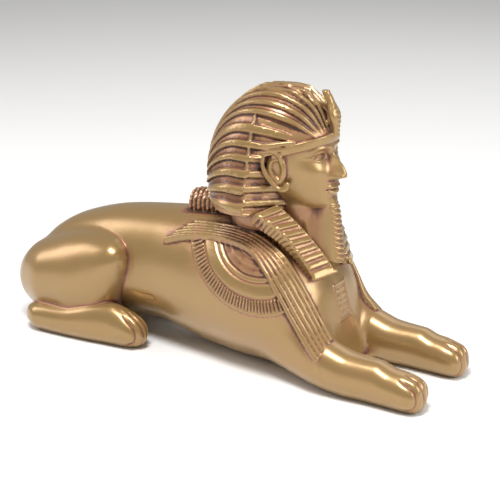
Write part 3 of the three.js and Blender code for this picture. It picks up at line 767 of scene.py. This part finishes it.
def carve():
    rear = axis(LOW[0], CARVED[0] - CELL * PLAIN, CELL * PLAIN * 0.6)
    middle = axis(CARVED[0], CARVED[1], CELL)
    ahead = axis(CARVED[1] + CELL * PLAIN * 0.6, HIGH[0], CELL * PLAIN * 0.6)
    xs = np.concatenate([rear, middle, ahead])
    half = Grid(xs, axis(0, HIGH[1], CELL), axis(LOW[2], HIGH[2], CELL))
    lion(half)
    half.value = blurred(half.value, 2)
    fan(half)
    toes(half, FORELEG)
    toes(half, HIND_FOOT)
    cartouche(half)
    nape(half)
    headcloth(half)
    queue(half)
    head(half)
    neck_and_beard(half)
    brow_band(half)
    ear(half)
    cobra(half)
    strands(half)
    lappet(half)

    ys = np.concatenate([-half.axes[1][:0:-1], half.axes[1]])
    value = np.concatenate([half.value[:, :0:-1], half.value], axis=1)
    whole = Grid(half.axes[0], ys, half.axes[2], value)
    rod(whole, spline(COIL, 5), 1.8, 0.5)
    rod(whole, spline(TAIL, 5), TAIL_RADIUS, 1.2)
    ellipsoid(whole, (-75, 39.6, 53.4), (7.5, 3.6, 4.8), 1.5)
    whole.value = -smooth_min(-whole.value, (whole.axes[2][None, None, :] - 0.0) + 0 * whole.value, 0.8)
    return whole


def net(grid):
    """Points and quads of the surface, one point to each cell that it crosses."""
    inside = grid.value < 0
    count = np.zeros([n - 1 for n in inside.shape], np.uint8)
    for corner in range(8):
        i, j, k = (corner & 1, (corner >> 1) & 1, (corner >> 2) & 1)
        count += inside[
            i:inside.shape[0] - 1 + i, j:inside.shape[1] - 1 + j, k:inside.shape[2] - 1 + k
        ]
    active = (count > 0) & (count < 8)
    cells = np.argwhere(active)
    number = np.full(active.shape, -1, np.int32)
    number[active] = np.arange(len(cells))
    total = np.zeros((len(cells), 3))
    crossings = np.zeros(len(cells))
    for c in range(3):
        others = [a for a in range(3) if a != c]
        for m in range(4):
            a = np.zeros(3, int)
            a[others[0]], a[others[1]] = m & 1, m >> 1
            b = a.copy()
            b[c] = 1
            fa = grid.value[tuple((cells + a).T)]
            fb = grid.value[tuple((cells + b).T)]
            crossed = (fa < 0) != (fb < 0)
            t = np.where(crossed, fa / np.where(crossed, fa - fb, 1), 0)
            place = np.tile(a.astype(float), (len(cells), 1))
            place[:, c] = t
            total += place * crossed[:, None]
            crossings += crossed
    share = total / crossings[:, None]
    points = np.empty_like(share)
    for c, line in enumerate(grid.axes):
        low = line[cells[:, c]]
        points[:, c] = low + share[:, c] * (line[cells[:, c] + 1] - low)
    quads = []
    for c in range(3):
        first = [slice(None)] * 3
        second = [slice(None)] * 3
        first[c], second[c] = slice(None, -1), slice(1, None)
        change = inside[tuple(first)] != inside[tuple(second)]
        for a in range(3):
            if a != c:
                edge = [slice(None)] * 3
                edge[a] = slice(0, 1)
                change[tuple(edge)] = False
                edge[a] = slice(-1, None)
                change[tuple(edge)] = False
        spots = np.argwhere(change)
        starts_inside = inside[tuple(spots.T)]
        p, q = [a for a in range(3) if a != c]
        ring = []
        for dp, dq in ((1, 1), (0, 1), (0, 0), (1, 0)):
            cell = spots.copy()
            cell[:, p] -= dp
            cell[:, q] -= dq
            ring.append(number[tuple(cell.T)])
        ring = np.stack(ring, 1)
        outward = starts_inside if c != 1 else ~starts_inside
        ring[outward] = ring[outward]
        ring[~outward] = ring[~outward][:, ::-1]
        quads.append(ring)
    return points, np.concatenate(quads)


def mesh_of(points, faces, name):
    mesh = bpy.data.meshes.new(name)
    mesh.vertices.add(len(points))
    mesh.vertices.foreach_set("co", points.astype(np.float32).ravel())
    side = faces.shape[1]
    mesh.loops.add(faces.size)
    mesh.loops.foreach_set("vertex_index", faces.astype(np.int32).ravel())
    mesh.polygons.add(len(faces))
    mesh.polygons.foreach_set("loop_start", np.arange(0, faces.size, side, dtype=np.int32))
    mesh.polygons.foreach_set("loop_total", np.full(len(faces), side, np.int32))
    mesh.update(calc_edges=True)
    return mesh


def thinned(mesh, budget):
    """The mesh with fewer triangles, kept where the carving is fine."""
    maker = bpy.data.objects.new("carving", mesh)
    bpy.context.scene.collection.objects.link(maker)
    triangles = 2 * len(mesh.polygons)
    if triangles > budget:
        modifier = maker.modifiers.new("thin", "DECIMATE")
        modifier.ratio = budget / triangles
        modifier.use_collapse_triangulate = True
    graph = bpy.context.evaluated_depsgraph_get()
    result = bpy.data.meshes.new_from_object(maker.evaluated_get(graph))
    bpy.data.objects.remove(maker)
    return result


def coordinates(mesh):
    flat = np.empty(len(mesh.vertices) * 3, np.float32)
    mesh.vertices.foreach_get("co", flat)
    return flat.reshape(-1, 3).astype(float)


def slopes(grid, points, step):
    parts = []
    for c in range(3):
        offset = np.zeros(3)
        offset[c] = step
        parts.append(grid.sample(points + offset) - grid.sample(points - offset))
    normal = np.stack(parts, 1)
    return normal / np.maximum(np.linalg.norm(normal, axis=1, keepdims=True), 1e-6)


# ---------------------------------------------------------------- where the antiquing and the painted shade sit

def patina_and_painted_shade(points):
    """0 on bare gold, 1 where the red-brown antiquing was left; also painted shade under the headcloth's
    rim, under the jaw, on the side wings and in the grooves under the pleats.
    """
    x, y, z = points[:, 0], np.abs(points[:, 1]), points[:, 2]
    slope, _ = pleat_place(x, y, z)
    low_band = smooth(-pleat_profile(slope), -0.3, 0.4)
    centre, back, front, width = columns(SHELL, z)
    rho = np.hypot((x - centre) / np.where(x < centre, back, front), y / width)
    cloth = (z > RIM) & (rho > 0.93) & ((x < edge_x(z) + 1.0) | (z > brow_line(x) + 2.4)) & (x < 63)
    wing = (z > RIM) & (z < brow_line(x) + 1) & (y > 26.8)
    wing = wing & (x > edge_x(z) + 1.0) & (x < wing_front(y, z) + 2)
    red = np.zeros(len(points))
    # Cloth: red-brown antiquing in the lower bands, plus painted shadow in the groove under each raised
    # pleat's lower edge.
    red = np.where(cloth, 0.06 + 0.14 * low_band + 0.30 * pleat_groove(slope), red)
    # Side wings: painted shade, a darker red-brown over the whole wing because it faces away from the
    # light, plus antiquing in the lower bands.
    wing_slope, _ = pleat_place(x * 0 + EDGE["x"], EDGE["y"], z + 0.12 * (EDGE["y"] - y))
    red = np.where(wing, 0.22 + 0.14 * smooth(-pleat_profile(wing_slope), -0.3, 0.4), red)
    # Painted shade under the headcloth's rim, over the queue at the back and over the nape.
    tail_of_hair = (x < 0) & (z > 74) & (y < 11) & (z > QUEUE["z"] - 11)
    red = np.where(tail_of_hair & (x > QUEUE["x"] - 2), 0.5, red)
    under_rim = (z < RIM + 0.5) & (z > 79) & (rho < 1.02) & (x < 38) & (x > -14)
    red = np.where(under_rim & ~tail_of_hair, 0.5, red)
    # Painted shade under the jaw, over the throat and the sides of the beard.
    throat = smooth(z, 101, 97) * (z > 66) * smooth(x, 64, 58) * (x > 38) * (y < 16)
    red = np.maximum(red, 0.32 * throat)
    r, angle = fan_polar(x, z)
    in_fan = (angle > FAN_FROM) & (angle < FAN_TO) & (y > 20)
    red = np.where(in_fan & (r < 32.0), 0.36, red)
    red = np.where(in_fan & (r > 44.0) & (r < 51.0), 0.28, red)
    return red


def region_of_strands(points):
    """Share of the way to a strand, for the antiquing between the ribs."""
    y = np.abs(points[:, 1])
    places = []
    for s in np.linspace(0, 1, 60):
        for a in np.linspace(0.08, 0.92, 8):
            places.append(strand_point(s, a))
    places = np.array(places)
    near = np.full(len(points), 99.0)
    box_low, box_high = places.min(0) - 3, places.max(0) + 3
    probe = np.stack([points[:, 0], y, points[:, 2]], 1)
    chosen = np.flatnonzero(np.all((probe > box_low) & (probe < box_high), axis=1))
    for start in range(0, len(chosen), 4000):
        part = chosen[start:start + 4000]
        gap = probe[part][:, None, :] - places[None, :, :]
        near[part] = np.sqrt((gap ** 2).sum(2).min(1))
    return smooth(near, 4.2, 2.6)


# ---------------------------------------------------------------- material

def gold():
    material = bpy.data.materials.new("antiqued_gold")
    material.use_nodes = True
    nodes, links = material.node_tree.nodes, material.node_tree.links
    shader = nodes["Principled BSDF"]
    shader.inputs["Metallic"].default_value = 0.5
    shader.inputs["Specular IOR Level"].default_value = 0.5

    def node(kind, **values):
        made = nodes.new(kind)
        for name, value in values.items():
            setattr(made, name, value)
        return made

    def math_node(kind, a, b=None, clamp=False):
        made = node("ShaderNodeMath", operation=kind, use_clamp=clamp)
        for i, value in enumerate((a, b)):
            if value is None:
                continue
            if isinstance(value, (int, float)):
                made.inputs[i].default_value = value
            else:
                links.new(value, made.inputs[i])
        return made.outputs[0]

    def noise(scale, detail=4.0, rough=0.55):
        made = node("ShaderNodeTexNoise")
        made.inputs["Scale"].default_value = scale
        made.inputs["Detail"].default_value = detail
        made.inputs["Roughness"].default_value = rough
        links.new(place.outputs["Object"], made.inputs["Vector"])
        return made.outputs["Fac"]

    place = node("ShaderNodeTexCoord")
    recess = node("ShaderNodeAttribute", attribute_name="recess").outputs["Fac"]
    red = node("ShaderNodeAttribute", attribute_name="red").outputs["Fac"]
    edge = node("ShaderNodeAttribute", attribute_name="edge").outputs["Fac"]
    clouds = noise(24, 3)
    mottle = noise(110, 5, 0.6)
    grain = noise(900, 3, 0.6)

    # Darkening: red-brown antiquing, plus painted shade brought in by the recess and red attributes.
    wash_and_painted_shade = math_node("MULTIPLY", recess, 0.9)
    wash_and_painted_shade = math_node("ADD", wash_and_painted_shade, red)
    wash_and_painted_shade = math_node("ADD", wash_and_painted_shade, math_node("MULTIPLY", math_node("SUBTRACT", clouds, 0.5), 0.34))
    wash_and_painted_shade = math_node("ADD", wash_and_painted_shade, math_node("MULTIPLY", math_node("SUBTRACT", mottle, 0.5), 0.20))
    # Convex edges are made lighter: rubbed-off antiquing plus a painted highlight.
    wash_and_painted_shade = math_node("SUBTRACT", wash_and_painted_shade, math_node("MULTIPLY", edge, 0.35), clamp=True)

    # The ramp runs from bare gold to the darkest red-brown, used for antiquing and painted shade alike.
    ramp = node("ShaderNodeValToRGB")
    links.new(wash_and_painted_shade, ramp.inputs["Fac"])
    stops = ramp.color_ramp.elements
    stops[0].position, stops[0].color = 0.0, (0.37, 0.230, 0.088, 1)
    stops[1].position, stops[1].color = 1.0, (0.055, 0.022, 0.010, 1)
    for position, colour in (
        (0.20, (0.40, 0.225, 0.100, 1)), (0.42, (0.34, 0.155, 0.080, 1)), (0.70, (0.17, 0.068, 0.032, 1)),
    ):
        stop = stops.new(position)
        stop.color = colour
    links.new(ramp.outputs["Color"], shader.inputs["Base Color"])

    rough = math_node("MULTIPLY", wash_and_painted_shade, 0.20)
    rough = math_node("ADD", rough, 0.31)
    uneven = math_node("MULTIPLY", math_node("SUBTRACT", mottle, 0.5), 0.14)
    rough = math_node("ADD", rough, uneven, clamp=True)
    links.new(rough, shader.inputs["Roughness"])
    shader.inputs["Coat Weight"].default_value = 0.5
    shader.inputs["Coat Roughness"].default_value = 0.22

    bump = node("ShaderNodeBump")
    bump.inputs["Strength"].default_value = 0.25
    bump.inputs["Distance"].default_value = 0.0003
    height = math_node("ADD", math_node("MULTIPLY", mottle, 0.7), math_node("MULTIPLY", grain, 0.3))
    links.new(height, bump.inputs["Height"])
    links.new(bump.outputs["Normal"], shader.inputs["Normal"])
    return material


# ---------------------------------------------------------------- the piece

def sphinx():
    grid = carve()
    points, quads = net(grid)
    mesh = thinned(mesh_of(points, quads, "carved"), BUDGET)
    points = coordinates(mesh)
    normals = slopes(grid, points, 0.45)

    near = Grid(*grid.axes, blurred(grid.value, 5))
    wide = Grid(*grid.axes, blurred(near.value, 14))
    bend = near.sample(points)
    hollow = wide.sample(points)
    # recess: red-brown antiquing left in the fine creases, plus painted shade darkening the broad hollows,
    # such as the crease between belly and haunch.
    recess = smooth(-bend, 0.03, 0.22) * 0.6 + smooth(-hollow, 0.15, 1.1) * 0.45
    # edge: convex places that get less darkening, for rubbed-off antiquing and a painted highlight.
    edge = smooth(bend, 0.05, 0.25)
    # red: antiquing colour plus painted shade under the rim, under the jaw, on the side wings and under the
    # pleats.
    red = patina_and_painted_shade(points)
    ribs = region_of_strands(points)
    recess = recess + 0.35 * ribs * smooth(-bend, -0.02, 0.10)

    for name, value in (("recess", recess), ("red", red), ("edge", edge)):
        layer = mesh.attributes.new(name, "FLOAT", "POINT")
        layer.data.foreach_set("value", np.clip(value, 0, 1).astype(np.float32))

    placed = points.copy()
    placed[:, 0] += SHIFT
    mesh.vertices.foreach_set("co", (placed / 1000).astype(np.float32).ravel())
    mesh.polygons.foreach_set("use_smooth", np.ones(len(mesh.polygons), bool))
    mesh.update()
    mesh.normals_split_custom_set_from_vertices([tuple(n) for n in normals])
    mesh.name = "carved_sphinx"
    piece = bpy.data.objects.new("carved_sphinx", mesh)
    bpy.context.scene.collection.objects.link(piece)
    mesh.materials.clear()
    mesh.materials.append(gold())
    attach(piece, "root")
    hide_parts("sphinx")
    return piece


# ---------------------------------------------------------------- studio

def camera():
    azimuth, elevation, distance = math.radians(31.6), math.radians(19), 0.850
    right = Vector((math.cos(azimuth), math.sin(azimuth), 0))
    level, rise = math.cos(elevation), math.sin(elevation)
    up = Vector((-rise * math.sin(azimuth), rise * math.cos(azimuth), level))
    back = Vector((math.sin(azimuth) * level, -math.cos(azimuth) * level, rise))
    data = bpy.data.cameras.new("camera")
    data.sensor_width = 36
    data.lens = 101.3
    data.clip_start = 0.05
    data.clip_end = 20
    view = bpy.data.objects.new("camera", data)
    bpy.context.scene.collection.objects.link(view)
    spot = right * 0.007855 + up * 0.0574 + back * distance + Vector((SHIFT / 1000, 0, 0))
    view.matrix_world = Matrix.Translation(spot) @ Matrix((right, up, back)).transposed().to_4x4()
    bpy.context.scene.camera = view


def lamp(name, spot, target, size, power, colour=(1, 1, 1)):
    data = bpy.data.lights.new(name, "AREA")
    data.shape = "RECTANGLE"
    data.size, data.size_y = size
    data.energy = power
    data.color = colour
    light = bpy.data.objects.new(name, data)
    bpy.context.scene.collection.objects.link(light)
    light.location = spot
    light.rotation_mode = "QUATERNION"
    light.rotation_quaternion = (Vector(target) - Vector(spot)).to_track_quat("-Z", "Y")


def studio():
    bpy.ops.mesh.primitive_plane_add(size=6, location=(0, 0, -0.0002))
    floor = bpy.context.object
    floor.name = "floor"
    material = bpy.data.materials.new("floor")
    material.use_nodes = True
    shader = material.node_tree.nodes["Principled BSDF"]
    shader.inputs["Base Color"].default_value = (0.90, 0.90, 0.89, 1)
    shader.inputs["Roughness"].default_value = 0.9
    floor.data.materials.append(material)
    world = bpy.data.worlds.new("studio")
    world.use_nodes = True
    world.node_tree.nodes["Background"].inputs["Color"].default_value = (1.0, 0.99, 0.97, 1)
    world.node_tree.nodes["Background"].inputs["Strength"].default_value = 0.34
    bpy.context.scene.world = world
    lamp("key", (0.12, -0.42, 1.15), (0, 0, 0.06), (0.45, 0.35), 14)
    lamp("left", (-0.95, -0.35, 0.6), (0, 0, 0.08), (0.4, 0.5), 3.0, (1.0, 0.95, 0.94))
    lamp("right", (1.05, 0.15, 0.55), (0.05, 0, 0.08), (0.5, 0.5), 5)
    lamp("back", (0, 0.9, 0.8), (0, 0, 0.08), (0.8, 0.5), 1.5)
    bpy.context.scene.view_settings.view_transform = "Standard"


camera()
sphinx()
studio()
